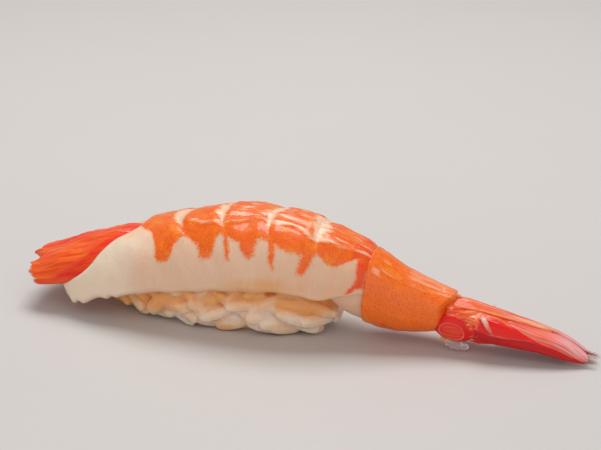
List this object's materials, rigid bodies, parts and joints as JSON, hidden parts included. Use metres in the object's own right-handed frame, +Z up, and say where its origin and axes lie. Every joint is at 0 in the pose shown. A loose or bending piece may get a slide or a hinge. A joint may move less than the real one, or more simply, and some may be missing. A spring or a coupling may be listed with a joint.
{
  "type": "boiled shrimp nigiri",
  "caption": "Butterflied boiled shrimp with its tail on, draped over a small hand-pressed bed of rice, with striped orange back, red neck flap and closed tail fan.",
  "frame": {"origin": "middle of the rice bed's flat base", "axes": "+X from the neck to the tail fan, +Z up, -Y the side shown to the guest"},
  "size_m": [0.1103, 0.0236, 0.0226],
  "materials": {
    "rice": "moist translucent cooked rice",
    "flesh": "moist boiled shrimp flesh, white sides with orange bands on the back",
    "shell": "smooth wet orange shell with fine dots",
    "tail": "glossy red tail blades with fine ribs",
    "membrane": "thin clear wet membrane"
  },
  "bodies": {
    "root": {"rice_bed": "rice", "shrimp_flesh": "flesh", "tail_segment": "shell", "tail_spine": "tail", "tail_root_near": "tail", "tail_root_far": "tail", "inner_blade_near": "tail", "inner_blade_far": "tail", "outer_blade_near": "tail", "outer_blade_far": "tail", "membrane_shred": "membrane"}
  },
  "joints": []
}
